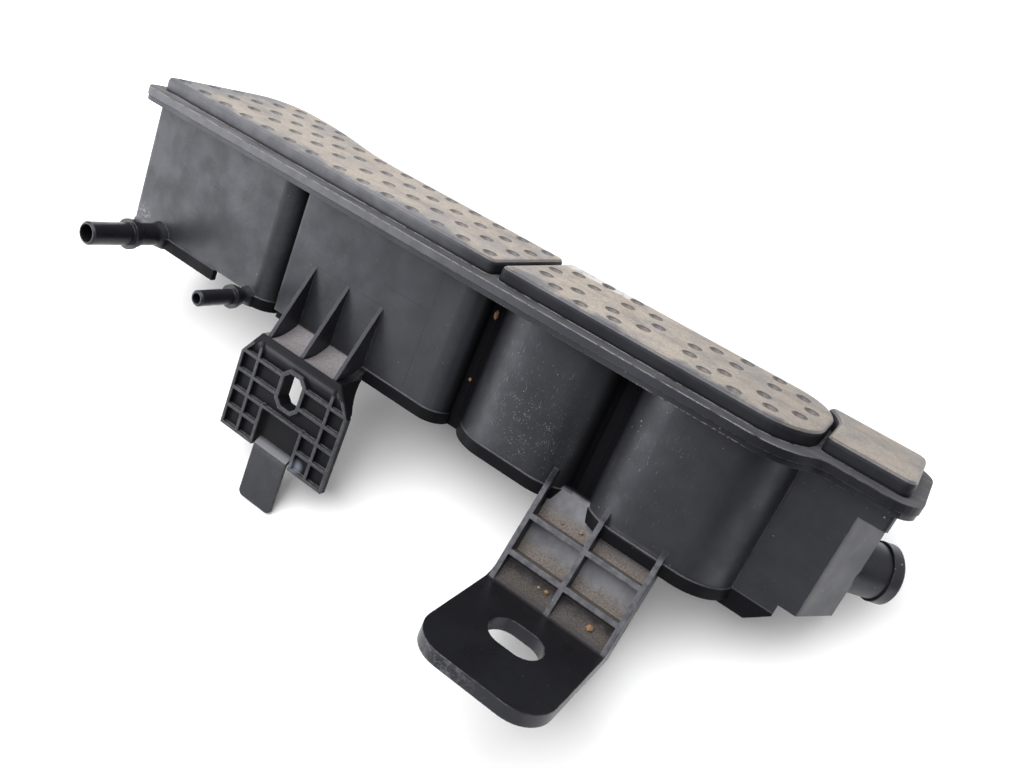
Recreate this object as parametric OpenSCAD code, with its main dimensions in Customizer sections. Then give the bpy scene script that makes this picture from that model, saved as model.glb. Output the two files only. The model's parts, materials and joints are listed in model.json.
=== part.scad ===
// Charcoal canister of a fuel tank's vent line: a moulded body of four chambers with two brackets and three
// hose ports, a welded lid with three raised fields, and the carbon beds, fleece pads, plates and springs
// inside. Millimetres. The canister is drawn with x along its length from the left end wall, y from the front
// wall towards the back and z up from the top of the lid's flange. The part's origin is the middle of the slot
// in the foot, on the foot's underside.

/* [Body] */
// Length of the first chamber, which carries the hose spigots
chamber_1_len = 103.2; // [85:0.1:130]
// Length of the second chamber, which carries the hanging bracket
chamber_2_len = 108.8; // [96:0.1:130]
// Length of the third chamber
chamber_3_len = 68; // [60:0.1:80]
// Length of the fourth chamber
chamber_4_len = 74.6; // [66:0.1:90]
// Width of the groove between two chambers
chamber_gap = 3.8; // [2:0.1:6]
// Width of the body from the front wall to the back wall
body_w = 61; // [56:0.1:70]
// Height of the body from the lid's flange down to the rim that it stands on
body_h = 77.6; // [70:0.1:95]
// Thickness of the moulded walls
wall = 2.4; // [1.8:0.1:3]
// Depth of the grooves between the chambers
groove_depth = 10.5; // [6:0.1:14]
// Corner radius at the right of the two flat chambers
flat_corner_r = 11; // [3:0.1:12]
// Corner radius at the left of the two flat chambers
sharp_corner_r = 2; // [1:0.1:3]
// Corner radius of the two rounded chambers
round_corner_r = 21; // [10:0.1:22]
// Radius of the fourth chamber's end towards the end box
end_corner_r = 22.4; // [18:0.1:26]
// Height of the bottom rim
rim_h = 6; // [4:0.1:9]
// How far the bottom rim stands out from the walls
rim_proud = 0.6; // [0.2:0.1:1.2]

/* [Left end] */
// Slant of the left end wall
end_slant = 9.6; // [4:0.1:14]
// How far the back wall bulges out at the left end
bulge_rise = 15.4; // [8:0.1:20]
// Radius of the bulge's outer corner
bulge_r = 26; // [20:0.1:32]
// Where the bulge is widest, along the length
bulge_x = 34.3; // [30:0.1:44]
// Length over which the bulge falls back to the straight back wall
bulge_run = 84.5; // [70:0.1:100]

/* [End box] */
// Length of the end box beyond the fourth chamber
end_len = 39.2; // [34:0.1:50]
// How far the end box stands back from the front wall
end_setback = 16.4; // [12:0.1:20]
// Corner radius of the end box
box_corner_r = 5; // [3:0.1:7]
// Radius of the inner sweep from the fourth chamber to the end box
sweep_r = 16; // [12:0.1:20]
// Depth of the end box below the flange, on the side of the port
box_h = 67; // [60:0.1:76]
// Depth of the toe under the end box, next to the fourth chamber
toe_h = 81; // [79:0.1:84]
// Length of the toe beyond the fourth chamber
toe_len = 18.8; // [14:0.1:24]
// Width of the slanted pad on the end box, along the length
pad_w = 12.4; // [8:0.1:16]
// Depth of the slanted pad, across the width
pad_d = 20; // [14:0.1:24]
// Top of the slanted pad, below the flange
pad_top = 16; // [12:0.1:24]

/* [Lid] */
// How far the welded flange stands out from the walls
flange_overhang = 8; // [6:0.1:10]
// How far the flange is tucked in at the left end
flange_tuck = 3; // [1:0.1:4]
// How far the flange is tucked in at the right end
flange_end_tuck = 2; // [0:0.1:3]
// Corner radius of the flange at the left end
flange_corner_r = 7; // [5:0.1:10]
// Thickness of the lid's flange
lid_flange_t = 4; // [3:0.1:5]
// Thickness of the body's flange
body_flange_t = 2.6; // [2:0.1:4]
// How far the body's flange stays inside the lid's flange
weld_step = 0.5; // [0.2:0.1:1]
// Height of the raised fields
field_h = 7.2; // [5:0.1:9]
// Rounding of the raised fields' top edges
field_edge_r = 2.4; // [1.2:0.1:3]
// Thickness of the raised fields' tops
field_top_t = 3; // [2.6:0.1:4]
// Gap between the first two raised fields
field_gap = 3.6; // [2.6:0.1:6]
// Slant of that gap across the width
gap_slant = 6; // [0:0.1:8]
// Gap between the second and the third raised field
end_field_gap = 1.8; // [1.2:0.1:2.4]
// Corner radius of the raised fields
field_corner_r = 3.2; // [3.1:0.1:5]

/* [Dimples] */
// Diameter of a dimple at its mouth
dimple_d = 7.2; // [5:0.1:7.4]
// Diameter of a dimple at its bottom
dimple_floor_d = 4.2; // [2.4:0.1:4.6]
// Depth of a dimple
dimple_depth = 1.6; // [0.8:0.1:1.8]
// Spacing of the dimples along the first field
dimple_pitch_x = 15.1; // [14:0.1:16]
// Spacing of the rows of dimples across the first field
dimple_pitch_y = 15.1; // [13:0.1:15.4]
// Slant of the columns of dimples at the left end; at the gap they have the gap's slant
column_slant = 7.2; // [0:0.1:9]
// Distance of the front row of dimples from the front wall
dimple_front_y = 6.5; // [6:0.1:8]
// Distance of the second row of dimples from the front wall
dimple_second_y = 24.6; // [20:0.1:25]
// Distance of the row in the bulge from the front wall
dimple_bulge_y = 66.8; // [66:0.1:68]
// Radius of the outer ring of dimples over a rounded chamber, across the width
rosette_r = 24.6; // [21:0.1:25]
// Length of that ring along the canister, as a share of its width
rosette_stretch = 1.145; // [1:0.005:1.16]
// Number of dimples in that outer ring
rosette_n = 11; // [8:1:13]
// Radius of the inner ring of dimples
rosette_inner_r = 13; // [9:0.1:15]

/* [Spigots] */
// Outer diameter of the tank spigot
tank_spigot_d = 11.8; // [9.5:0.01:13]
// Length of the tank spigot from the wall to its end
tank_spigot_len = 45.6; // [38:0.1:56]
// Place of the tank spigot along the length
tank_spigot_x = 21.6; // [14:0.1:30]
// Outer diameter of the purge spigot
purge_spigot_d = 7.89; // [6.3:0.01:9.5]
// Length of the purge spigot from the wall to its end
purge_spigot_len = 34.4; // [28:0.1:44]
// Place of the purge spigot along the length
purge_spigot_x = 89.6; // [80:0.1:92]
// Free length of the tank spigot from its collar to its end
tank_free_len = 24.6; // [18:0.1:28]
// Free length of the purge spigot from its collar to its end
purge_free_len = 22; // [18:0.1:24]
// Wall of the spigots
spigot_wall = 1.4; // [1:0.1:1.8]
// How far the spigots' collars stand out
collar_proud = 2.1; // [1.4:0.1:3]
// Depth of the tank spigot's axis below the flange, at the front wall
tank_spigot_drop = 72; // [66:0.1:73]
// Depth of the purge spigot's axis below the flange, at the front wall
purge_spigot_drop = 73.6; // [68:0.1:74]
// Upward tilt of the spigots
spigot_tilt = 2.5; // [0:0.5:5]

/* [Vent port] */
// Outer diameter of the vent port's tube
vent_d = 25; // [20:0.1:26]
// Length of the vent port's tube outside the end wall, along its axis
vent_len = 12.5; // [10:0.1:18]
// Length of the collar on the end of the vent port
vent_collar_len = 6; // [4:0.1:8]
// How far that collar stands out
vent_collar_proud = 1; // [0.4:0.1:1.6]
// Angle of the vent port, turned back from the length
vent_turn = 34; // [20:0.5:40]
// Place of the vent port across the width, at the end wall
vent_y = 51; // [49:0.1:52]
// Depth of the vent port's axis below the flange
vent_drop = 46.4; // [38:0.1:50]

/* [Hanging bracket] */
// Middle of the bracket along the length
hanger_x = 145.8; // [144:0.1:150]
// Width of the bracket's plate
hanger_w = 70; // [64:0.1:76]
// Height of the plate
hanger_h = 56.4; // [52:0.1:64]
// How far the plate's front stands out from the front wall
hanger_out = 17.8; // [15:0.1:22]
// Depth of the plate with its ribs
hanger_depth = 3.6; // [3:0.1:5]
// Thickness of the plate's sheet
hanger_sheet = 1.2; // [1:0.1:1.8]
// Thickness of the plate's ribs
hanger_rib = 1.6; // [1.2:0.1:2]
// Spacing of the plate's level ribs
hanger_pitch = 10.5; // [9:0.1:12]
// Spacing of the three gussets
gusset_pitch = 21.4; // [18:0.1:24]
// Thickness of the gussets
gusset_t = 2; // [1.4:0.1:2.6]
// Height of the gussets on the front wall, above the plate
gusset_h = 37; // [30:0.1:44]
// Width of the plate's slot
hanger_slot_w = 12; // [9:0.1:13]
// Length of the plate's slot
hanger_slot_len = 18; // [14:0.1:20]
// Length of the boss round the slot, from the plate's front
boss_len = 8.3; // [6:0.1:10]
// Width of the spring tongue
tongue_w = 22; // [18:0.1:26]
// How far the tongue reaches below the plate
tongue_drop = 29; // [22:0.1:36]
// Slit on each side of the tongue
tongue_slit = 1.6; // [1.2:0.1:2.4]
// How far the walls beside the tongue stand out behind the plate
tongue_wall_h = 3; // [2:0.1:5]

/* [Foot] */
// Width of the foot along the length
foot_w = 62.4; // [56:0.1:68]
// Reach of the foot's front edge from the front wall
foot_reach = 80; // [72:0.1:90]
// Thickness of the foot
foot_t = 6.4; // [5:0.1:8]
// Depth of the foot's top below the flange
foot_drop = 114.4; // [108:0.1:122]
// Radius of the foot's front corners
foot_corner_r = 16; // [8:0.1:20]
// Width of the foot's slot
foot_slot_w = 18.4; // [13:0.1:20]
// Length of the foot's slot
foot_slot_len = 26; // [21:0.1:30]
// Distance of the slot's middle from the foot's front edge
foot_slot_set = 36.3; // [30:0.1:42]
// Thickness of the arm's ribs
arm_rib = 2.5; // [1.8:0.1:3.2]
// Height of the arm's ribs above its web
arm_rib_h = 8; // [5:0.1:10]
// Thickness of the arm's web
arm_web = 3; // [2.4:0.1:4]
// How far the arm leans out over its height
arm_lean = 20; // [16:0.1:24]

/* [Filling] */
// Clearance of the filling to the chamber walls
fill_clear = 0.3; // [0.2:0.1:0.6]
// Thickness of the fleece pads
fleece_t = 4; // [2:0.1:6]
// Height of the carbon beds
bed_h = 46; // [38:0.1:50]
// Thickness of the pressure plates
plate_t = 3.5; // [2.5:0.1:4]
// Diameter of the holes in the pressure plates
plate_hole_d = 6; // [4:0.1:8]
// Spacing of those holes
plate_hole_pitch = 11; // [10:0.1:14]
// Outer diameter of the springs
spring_d = 22; // [16:0.1:26]
// Diameter of the spring wire
spring_wire = 1.6; // [1.2:0.1:2]
// Number of turns of a spring
spring_turns = 3.5; // [2.5:0.5:4.5]

/* [Hidden] */
$fn = 48;
EPS = 0.01;

// Ends of the chambers along the length
c1_end = chamber_1_len;
c2_start = c1_end + chamber_gap;
c2_end = c2_start + chamber_2_len;
c3_start = c2_end + chamber_gap;
c3_end = c3_start + chamber_3_len;
c4_start = c3_end + chamber_gap;
c4_end = c4_start + chamber_4_len;
box_end = c4_end + end_len;
chamber_x = [0, c1_end / 2, (c2_start + c2_end) / 2, (c3_start + c3_end) / 2, (c4_start + c4_end) / 2];
chamber_l = [0, chamber_1_len, chamber_2_len, chamber_3_len, chamber_4_len];
spring_set = 26;
flat_turn = 0.75;
window_w = 24;

// Heights
seam_z = -lid_flange_t;
floor_z = -(body_h - rim_h);
cavity_z = floor_z + wall;
lid_under_z = field_h - field_top_t;
fleece_top_z = cavity_z + fleece_t;
bed_top_z = fleece_top_z + bed_h;
plate_z = bed_top_z + fleece_t;
plate_top_z = plate_z + plate_t;

// The foot and the slot that the part's origin lies in
foot_x = (c3_end + c4_start) / 2 + 17.1;
foot_under_z = -foot_drop - foot_t;
foot_slot_y = -foot_reach + foot_slot_set;

// Bulge and end sweep
bulge_c = [bulge_x, body_w + bulge_rise - bulge_r];
bulge_end = bulge_x + bulge_run;
fall_r = (pow(bulge_run, 2) + pow(bulge_rise, 2)) / (4 * bulge_rise);
fall_angle = 2 * atan2(bulge_rise, bulge_run);
end_c = [c4_end - end_corner_r, end_corner_r];
sweep_c_y = end_setback - sweep_r;
sweep_c = [end_c.x + sqrt(pow(end_corner_r + sweep_r, 2) - pow(end_corner_r - sweep_c_y, 2)), sweep_c_y];
sweep_angle = atan2(end_c.y - sweep_c.y, sweep_c.x - end_c.x);
slant_in = [cos(end_slant), -sin(end_slant)];
slant_p = bulge_c - bulge_r * slant_in;

CHARCOAL = [0.16, 0.16, 0.17];
DUSTY = [0.3, 0.29, 0.27];
FLEECE = [0.85, 0.84, 0.8];
CARBON = [0.05, 0.05, 0.05];
NATURAL = [0.75, 0.74, 0.7];
STEEL = [0.62, 0.63, 0.65];

// Outlines

// Points of an arc from angle a to angle b, either way round
function arc(c, r, a, b, n = 8) = [
    for (i = [0:n]) let (t = a + (b - a) * i / n) c + r * [cos(t), sin(t)]];

// A list without its first entry, to join two arcs that share a point
function rest(list) = [for (i = [1:len(list) - 1]) list[i]];

// Centre of the near left corner, tangent to the front wall and to the slanted end wall
function left_corner(r) = [slant_p.x + (r + (r - slant_p.y) * sin(end_slant)) / cos(end_slant), r];

// The bulged left end, from the back wall round to the front wall: two arcs that fall from the bulge to the
// straight back wall, the bulge's outer corner and the near left corner
function left_end(g, r, tuck = 0) = concat(
    arc([bulge_end, body_w + fall_r], fall_r - g, 270, 270 - fall_angle),
    rest(arc([bulge_x, body_w + bulge_rise - fall_r], fall_r + g, 90 - fall_angle, 90)),
    rest(arc(bulge_c + [tuck, 0], bulge_r + g, 90 + 3 * tuck, 180 - end_slant, 12)),
    arc(left_corner(r) + [tuck, 0], r + g, 180 - end_slant, 270));

// The whole plan of the body, grown outwards by g
function plan(g) = concat(
    arc(end_c, end_corner_r + g, -90, -sweep_angle, 12),
    rest(arc(sweep_c, sweep_r - g, 180 - sweep_angle, 90, 8)),
    arc([box_end - box_corner_r - flange_end_tuck, end_setback + box_corner_r], box_corner_r + g, -90, 0),
    arc([box_end - box_corner_r - flange_end_tuck, body_w - box_corner_r], box_corner_r + g, 0, 90),
    left_end(g, flange_corner_r - flange_overhang, flange_tuck));

// Where a line along the slanted gap lies at y, when it passes the middle of the width at x
function on_slant(x, y) = x + (y - body_w / 2) * tan(gap_slant);

// Plan of the raised field over the first two chambers
function twin_plan(g, r) =
    let (x = c2_end - r / cos(gap_slant))
    concat(
        arc([on_slant(x, r), r], r + g, -90, -gap_slant),
        arc([on_slant(x, body_w - r), body_w - r], r + g, -gap_slant, 90),
        left_end(g, r));

// Plan of the raised field over the third and fourth chambers
function round_field(g) =
    let (r = field_corner_r, x = c2_end + field_gap + r / cos(gap_slant))
    concat(
        arc([on_slant(x, r), r], r + g, 180 - gap_slant, 270),
        arc(end_c, end_corner_r + g, -90, 0, 12),
        arc([c4_end - round_corner_r, body_w - round_corner_r], round_corner_r + g, 0, 90, 12),
        arc([on_slant(x, body_w - r), body_w - r], r + g, 90, 180 - gap_slant));

// Plan of the raised field over the end box, which follows the round end of the field beside it
function end_field(g) =
    let (x0 = c4_end + end_field_gap, r = round_corner_r + end_field_gap, q = field_corner_r,
         c = [c4_end - round_corner_r, body_w - round_corner_r],
         tip = [c.x + sqrt(pow(r + q, 2) - pow(round_corner_r - q, 2)), body_w - q],
         turn = asin((tip.y - c.y) / (r + q)))
    concat(
        arc([x0 + q, end_setback + q], q + g, 180, 270),
        arc([box_end - box_corner_r, end_setback + box_corner_r], box_corner_r + g, -90, 0),
        arc([box_end - box_corner_r, body_w - box_corner_r], box_corner_r + g, 0, 90),
        arc(tip, q + g, 90, 180 + turn),
        rest(arc(c, r - g, turn, 0)));

// A rectangle with a radius of its own at each corner: near left, near right, far right, far left
module rounded(a, b, r) {
    polygon([[a.x + r[0], a.y + r[0]], [a.x + r[0], a.y], [b.x - r[1], a.y], [b.x - r[1], a.y + r[1]],
             [b.x, a.y + r[1]], [b.x, b.y - r[2]], [b.x - r[2], b.y - r[2]], [b.x - r[2], b.y],
             [a.x + r[3], b.y], [a.x + r[3], b.y - r[3]], [a.x, b.y - r[3]], [a.x, a.y + r[0]]]);
    translate([a.x + r[0], a.y + r[0]]) circle(r[0]);
    translate([b.x - r[1], a.y + r[1]]) circle(r[1]);
    translate([b.x - r[2], b.y - r[2]]) circle(r[2]);
    translate([a.x + r[3], b.y - r[3]]) circle(r[3]);
}

// Plan of one chamber, grown outwards by g
module chamber(i, g) {
    if (i == 1)
        intersection() {
            polygon(twin_plan(g, field_corner_r));
            rounded([-body_w, -g], [c1_end + g, 2 * body_w], [1, flat_corner_r + g, flat_corner_r + g, 1]);
        }
    if (i == 2)
        rounded([c2_start - g, -g], [c2_end + g, body_w + g],
                [sharp_corner_r + max(g, -1), flat_corner_r + g,
                 flat_corner_r + g, sharp_corner_r + max(g, -1)]);
    if (i == 3)
        rounded([c3_start - g, -g], [c3_end + g, body_w + g], [1, 1, 1, 1] * (round_corner_r + g));
    if (i == 4)
        rounded([c4_start - g, -g], [c4_end + g, body_w + g],
                [round_corner_r + g, end_corner_r + g, round_corner_r + g, round_corner_r + g]);
}

// Solids from outlines

// Draws a profile of y and z along x, from x0 over a length
module along_x(x0, length) translate([x0, 0, 0]) rotate([90, 0, 90]) linear_extrude(length) children();

// Draws a profile of x and z along y, from y0 to y1
module along_y(y0, y1) translate([0, y1, 0]) rotate([90, 0, 0]) linear_extrude(y1 - y0) children();

// Skins a stack of outlines that have the same number of points, each given as [z, outline]
module skin(rings) {
    n = len(rings[0][1]);
    last = len(rings) - 1;
    polyhedron(
        points = [for (ring = rings) for (p = ring[1]) [p.x, p.y, ring[0]]],
        faces = concat(
            [[for (i = [0:n - 1]) i]],
            [for (k = [0:last - 1]) for (i = [0:n - 1])
                [k * n + i, (k + 1) * n + i, (k + 1) * n + (i + 1) % n, k * n + (i + 1) % n]],
            [[for (i = [n - 1:-1:0]) last * n + i]]));
}

// Moves the drawing so that the middle of the foot's slot is the origin
module placed() translate([-foot_x, -foot_slot_y, -foot_under_z]) children();

// Body

module neck(x_left, x_right, z_top)
    translate([x_left - round_corner_r, groove_depth, -body_h])
        cube([x_right - x_left + 2 * round_corner_r, body_w - 2 * groove_depth, z_top + body_h]);

module box_profile()
    polygon([[c4_end - end_corner_r, seam_z], [c4_end - end_corner_r, -toe_h], [c4_end + toe_len / 2, -toe_h],
             [c4_end + toe_len, -box_h - rim_h], [c4_end + toe_len, -box_h],
             [box_end, -box_h], [box_end, seam_z]]);

module end_box() {
    difference() {
        intersection() {
            along_y(end_setback, body_w) box_profile();
            translate([0, 0, -toe_h])
                linear_extrude(toe_h)
                    rounded([c4_end - end_corner_r, end_setback], [box_end, body_w],
                            [1, 1, 1, 1] * box_corner_r / 2);
        }
        translate([0, 0, -toe_h - 1])
            linear_extrude(toe_h + 1 - pad_top)
                polygon([[box_end - pad_w, end_setback - EPS], [box_end + 1, end_setback - EPS],
                         [box_end + 1, end_setback + pad_d], [box_end, end_setback + pad_d]]);
    }
}

module shell() {
    for (i = [1:4]) {
        translate([0, 0, -body_h]) linear_extrude(body_h + seam_z) chamber(i, 0);
        translate([0, 0, -body_h]) linear_extrude(rim_h) chamber(i, rim_proud);
    }
    neck(c1_end, c2_start, seam_z);
    neck(c2_end, c3_start, seam_z);
    neck(c3_end, c4_start, seam_z);
    end_box();
    translate([0, 0, seam_z - body_flange_t])
        linear_extrude(body_flange_t) polygon(plan(flange_overhang - weld_step));
}

module hollows() {
    for (i = [1:4]) {
        translate([0, 0, cavity_z]) linear_extrude(body_h) chamber(i, -wall);
        translate([0, 0, -body_h - 1]) linear_extrude(rim_h + 1) chamber(i, -wall);
    }
    translate([c4_end + wall, end_setback + wall, -box_h + wall])
        cube([end_len - pad_w - 2 * wall, body_w - end_setback - 2 * wall, box_h]);
    translate([box_end - pad_w - 2 * wall, end_setback + pad_d + wall, -box_h + wall])
        cube([pad_w + wall, body_w - end_setback - pad_d - 2 * wall, box_h]);
    translate([c4_end + wall, end_setback + wall, cavity_z])
        cube([toe_len - 2 * wall, body_w - end_setback - 2 * wall, body_h / 2]);
    window(c2_end, c3_start);
    window(c4_end, c4_end);
}

// An opening low in the wall between two chambers
module window(x_left, x_right)
    translate([x_left - 2 * wall, body_w / 2 - window_w / 2, cavity_z])
        cube([x_right - x_left + 4 * wall, window_w, fleece_t]);

// Places its children at a spigot's root on the front wall, with z along the spigot
module at_spigot(x, drop) translate([x, 0, -drop]) rotate([90 - spigot_tilt, 0, 0]) children();

module spigot(x, drop, d, length, free_len) {
    collar_z = length - free_len;
    ring_t = collar_proud;
    lead = spigot_wall * 0.6;
    at_spigot(x, drop) {
        translate([0, 0, -2 * wall]) cylinder(d = d, h = length - lead + 2 * wall);
        translate([0, 0, length - lead]) cylinder(d1 = d, d2 = d - 2 * lead, h = lead);
        translate([0, 0, collar_z - ring_t]) cylinder(d = d + 2 * collar_proud, h = ring_t);
        translate([0, 0, collar_z - 2.4 * ring_t]) cylinder(d = d + collar_proud, h = 1.4 * ring_t + EPS);
        translate([0, 0, -wall]) cylinder(d1 = d + 2 * collar_proud, d2 = d, h = wall + 2 * collar_proud);
    }
}

module spigot_bore(x, drop, d, length)
    at_spigot(x, drop) translate([0, 0, -3 * wall]) cylinder(d = d - 2 * spigot_wall, h = length + 4 * wall);

// Places its children where the vent port's axis meets the end wall, with z along the port
module at_vent() translate([box_end, vent_y, -vent_drop]) rotate([0, 90, vent_turn]) children();

module vent() {
    back = vent_d;
    groove = 0.8;
    at_vent() {
        translate([0, 0, -back]) cylinder(d = vent_d, h = back + vent_len - vent_collar_len - groove);
        cylinder(d = vent_d - 2 * groove, h = vent_len - EPS);
        translate([0, 0, vent_len - vent_collar_len])
            cylinder(d = vent_d + 2 * vent_collar_proud, h = vent_collar_len - vent_collar_proud);
        translate([0, 0, vent_len - vent_collar_proud])
            cylinder(d1 = vent_d + 2 * vent_collar_proud, d2 = vent_d, h = vent_collar_proud);
    }
}

module vent_bore()
    at_vent() translate([0, 0, -vent_d]) cylinder(d = vent_d - 2 * wall, h = vent_d + vent_len + 1);

// Hanging bracket

hanger_front = -hanger_out;
hanger_back = -hanger_out + hanger_depth;
hanger_top = -body_h + 0.8;
hanger_under = hanger_top - hanger_h;
hanger_chamfer = [9.3, 14.2];
hanger_slot_z = hanger_top - 19.2;
boss_wall = 2;

module hanger_outline(inset) {
    half = hanger_w / 2 - inset;
    polygon([[-half, hanger_under + inset], [half, hanger_under + inset],
             [half, hanger_top - hanger_chamfer.y], [half - hanger_chamfer.x, hanger_top - inset],
             [-half + hanger_chamfer.x, hanger_top - inset], [-half, hanger_top - hanger_chamfer.y]]);
}

module hanger_ribs() {
    column = (hanger_w / 2 + tongue_w / 2 + tongue_slit) / 2;
    intersection() {
        hanger_outline(0);
        union() {
            difference() {
                hanger_outline(0);
                hanger_outline(hanger_rib);
            }
            for (k = [1:4])
                translate([-hanger_w / 2, hanger_under + k * hanger_pitch]) square([hanger_w, hanger_rib]);
            for (side = [-1, 1])
                translate([side * column - hanger_rib / 2, hanger_under]) square([hanger_rib, hanger_h]);
            tongue_walls();
        }
    }
}

// The walls beside the tongue
module tongue_walls()
    for (side = [-1, 1])
        translate([side * (tongue_w / 2 + tongue_slit + hanger_rib / 2) - hanger_rib / 2, hanger_under])
            square([hanger_rib, tongue_root - hanger_under + hanger_rib]);

tongue_root = hanger_top - 35;

module boss_outline(grow) {
    w = hanger_slot_w / 2 + grow;
    h = hanger_slot_len / 2 + grow;
    cut = hanger_slot_w / 4 + grow / 2;
    polygon([[-w, -h + cut], [-w + cut, -h], [w - cut, -h], [w, -h + cut],
             [w, h - cut], [w - cut, h], [-w + cut, h], [-w, h - cut]]);
}

module tongue() {
    lip = 3.4;
    sheet = 1.6;
    face = hanger_front + lip;
    tip = hanger_under - tongue_drop;
    bend = hanger_under + 2;
    intersection() {
        along_x(-tongue_w / 2, tongue_w)
            polygon([[face + sheet, tongue_root + 2 * sheet], [face, tongue_root + 2 * sheet],
                     [face, bend + lip], [hanger_front, bend], [hanger_front, tip],
                     [hanger_front + sheet, tip], [hanger_front + sheet, bend - 1],
                     [face + sheet, bend + lip - 1]]);
        along_y(hanger_front - 1, 0)
            rounded([-tongue_w / 2, tip], [tongue_w / 2, 0], [1, 1, 0.1, 0.1] * 3);
    }
}

module gusset_profile() {
    difference() {
        polygon([[wall / 2, hanger_top + gusset_h], [0, hanger_top + gusset_h], [hanger_front, hanger_top],
                 [hanger_back, hanger_top - hanger_h / 3], [wall / 2, -body_h]]);
        hanger_sweep();
    }
}

// The hollow sweep under the bracket, tangent to the back of its plate
module hanger_sweep() {
    drop = hanger_top - hanger_h * 0.4 + body_h;
    near = hanger_back + 2;
    r = (near * near + drop * drop) / (-2 * near) * 1.02;
    translate([hanger_back + hanger_sheet + r - 2, -body_h + drop]) circle(r);
}

module hanger_shelf() {
    r = 26.6;
    along_x(-hanger_w / 2 + 1, hanger_w - 2)
        difference() {
            polygon([[wall / 2, hanger_top + 8], [hanger_front, hanger_top + 8],
                     [hanger_front, hanger_top - 3], [hanger_back, hanger_top - hanger_h / 3],
                     [wall / 2, -body_h]]);
            translate([hanger_front + 1.3, hanger_top + r - 0.2]) circle(r);
            hanger_sweep();
        }
}

module hanger() {
    translate([hanger_x, 0, 0]) {
        difference() {
            union() {
                along_y(hanger_back - hanger_sheet, hanger_back) hanger_outline(0);
                along_y(hanger_front, hanger_back) hanger_ribs();
                along_y(hanger_back - hanger_sheet, hanger_back + tongue_wall_h) tongue_walls();
                along_y(hanger_front, hanger_front + boss_len)
                    translate([0, hanger_slot_z]) boss_outline(boss_wall);
                intersection() {
                    hanger_shelf();
                    along_y(hanger_front, wall) hanger_cover();
                }
            }
            tongue_gap();
        }
        tongue();
        for (k = [-1:1])
            along_x(k * gusset_pitch - gusset_t / 2, gusset_t) gusset_profile();
    }
}

// Keeps the shelf behind the plate's chamfered corners
module hanger_cover() {
    hanger_outline(0);
    translate([-hanger_w / 2 + hanger_chamfer.x, hanger_top - EPS])
        square([hanger_w - 2 * hanger_chamfer.x, 40]);
}

module tongue_gap() {
    half = tongue_w / 2 + tongue_slit;
    translate([-half, hanger_front - 1, hanger_under - 1])
        cube([2 * half, hanger_depth + 2, tongue_root - hanger_under + 1]);
}

module hanger_slot()
    translate([hanger_x, 0, 0])
        along_y(hanger_front - 1, hanger_front + boss_len + 1)
            translate([0, hanger_slot_z]) boss_outline(0);

// Foot and arm

arm_top = -body_h + 15.6;
arm_y = -18.5;
arm_web_top = -body_h + 8;
arm_w = foot_w - 1;
arm_x = foot_x - foot_w / 2 + 1;
arm_fall = foot_drop + arm_top;
arm_along = [-arm_lean, -arm_fall] / norm([arm_lean, arm_fall]);
arm_back = [-arm_along.y, arm_along.x];

// A strip of the arm's side view up to a height, between two depths behind the ribs' edges
module arm_strip(near, far, top = arm_top) {
    a = [arm_y + arm_lean, arm_top] + arm_back * near;
    b = [arm_y, -foot_drop] + arm_back * near;
    c = [arm_y, -foot_drop] + arm_back * far;
    d = [arm_y + arm_lean, arm_top] + arm_back * far;
    intersection() {
        polygon([a - arm_along * 12, b + arm_along * 14, c + arm_along * 14, d - arm_along * 12]);
        translate([-foot_reach, foot_under_z])
            square([2 * foot_reach, top - foot_under_z]);
    }
}

module arm() {
    for (x = [arm_x, arm_x + (arm_w - arm_rib) / 2, arm_x + arm_w - arm_rib])
        along_x(x, arm_rib) arm_strip(0, arm_rib_h + arm_web);
    along_x(arm_x, arm_w) arm_strip(arm_rib_h, arm_rib_h + arm_web, arm_web_top);
    for (t = [0.42, 0.745])
        along_x(arm_x, arm_w)
            intersection() {
                arm_strip(0, arm_rib_h + arm_web);
                translate([arm_y + arm_lean, arm_top] + arm_along * t * norm([arm_lean, arm_fall]))
                    rotate(atan2(arm_back.y, arm_back.x))
                        translate([-EPS, -arm_rib / 2]) square([arm_rib_h + arm_web, arm_rib]);
            }
}

// The rounded bend where the arm's web runs out into the foot
module foot_bend() {
    r = 10;
    y = arm_y + arm_back.x * arm_rib_h;
    along_x(foot_x - foot_w / 2, foot_w)
        difference() {
            polygon([[y + 2, -foot_drop - 1], [y - r, -foot_drop - 1], [y - r, -foot_drop],
                     [y - 1, -foot_drop + r * 0.9], [y + 5, -foot_drop + r * 0.9]]);
            translate([y - r, -foot_drop + r]) circle(r);
        }
}

module foot() {
    back = arm_y + (arm_rib_h + arm_web) / -arm_along.y;
    difference() {
        translate([foot_x, 0, foot_under_z])
            linear_extrude(foot_t)
                rounded([-foot_w / 2, -foot_reach], [foot_w / 2, back],
                        [foot_corner_r, foot_corner_r, 0.5, 0.5]);
        translate([foot_x, foot_slot_y, foot_under_z - 1]) linear_extrude(foot_t + 2) foot_slot();
    }
}

module foot_slot() {
    run = (foot_slot_len - foot_slot_w) / 2;
    square([2 * run, foot_slot_w], center = true);
    for (side = [-1, 1])
        translate([side * run, 0]) circle(d = foot_slot_w);
}

// The gaps in the bottom rim, beside the purge spigot and between the first groove and the hanging bracket
module rim_gaps() {
    depth = groove_depth / 2 + rim_proud + 1;
    translate([purge_spigot_x - 25, -rim_proud - 1, -body_h - 1]) cube([22, depth, rim_h + 1]);
    translate([c2_start - chamber_gap / 2, -rim_proud - 1, -body_h - 1])
        cube([hanger_x - gusset_pitch - c2_start + chamber_gap / 2, depth, rim_h + 1]);
}

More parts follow.
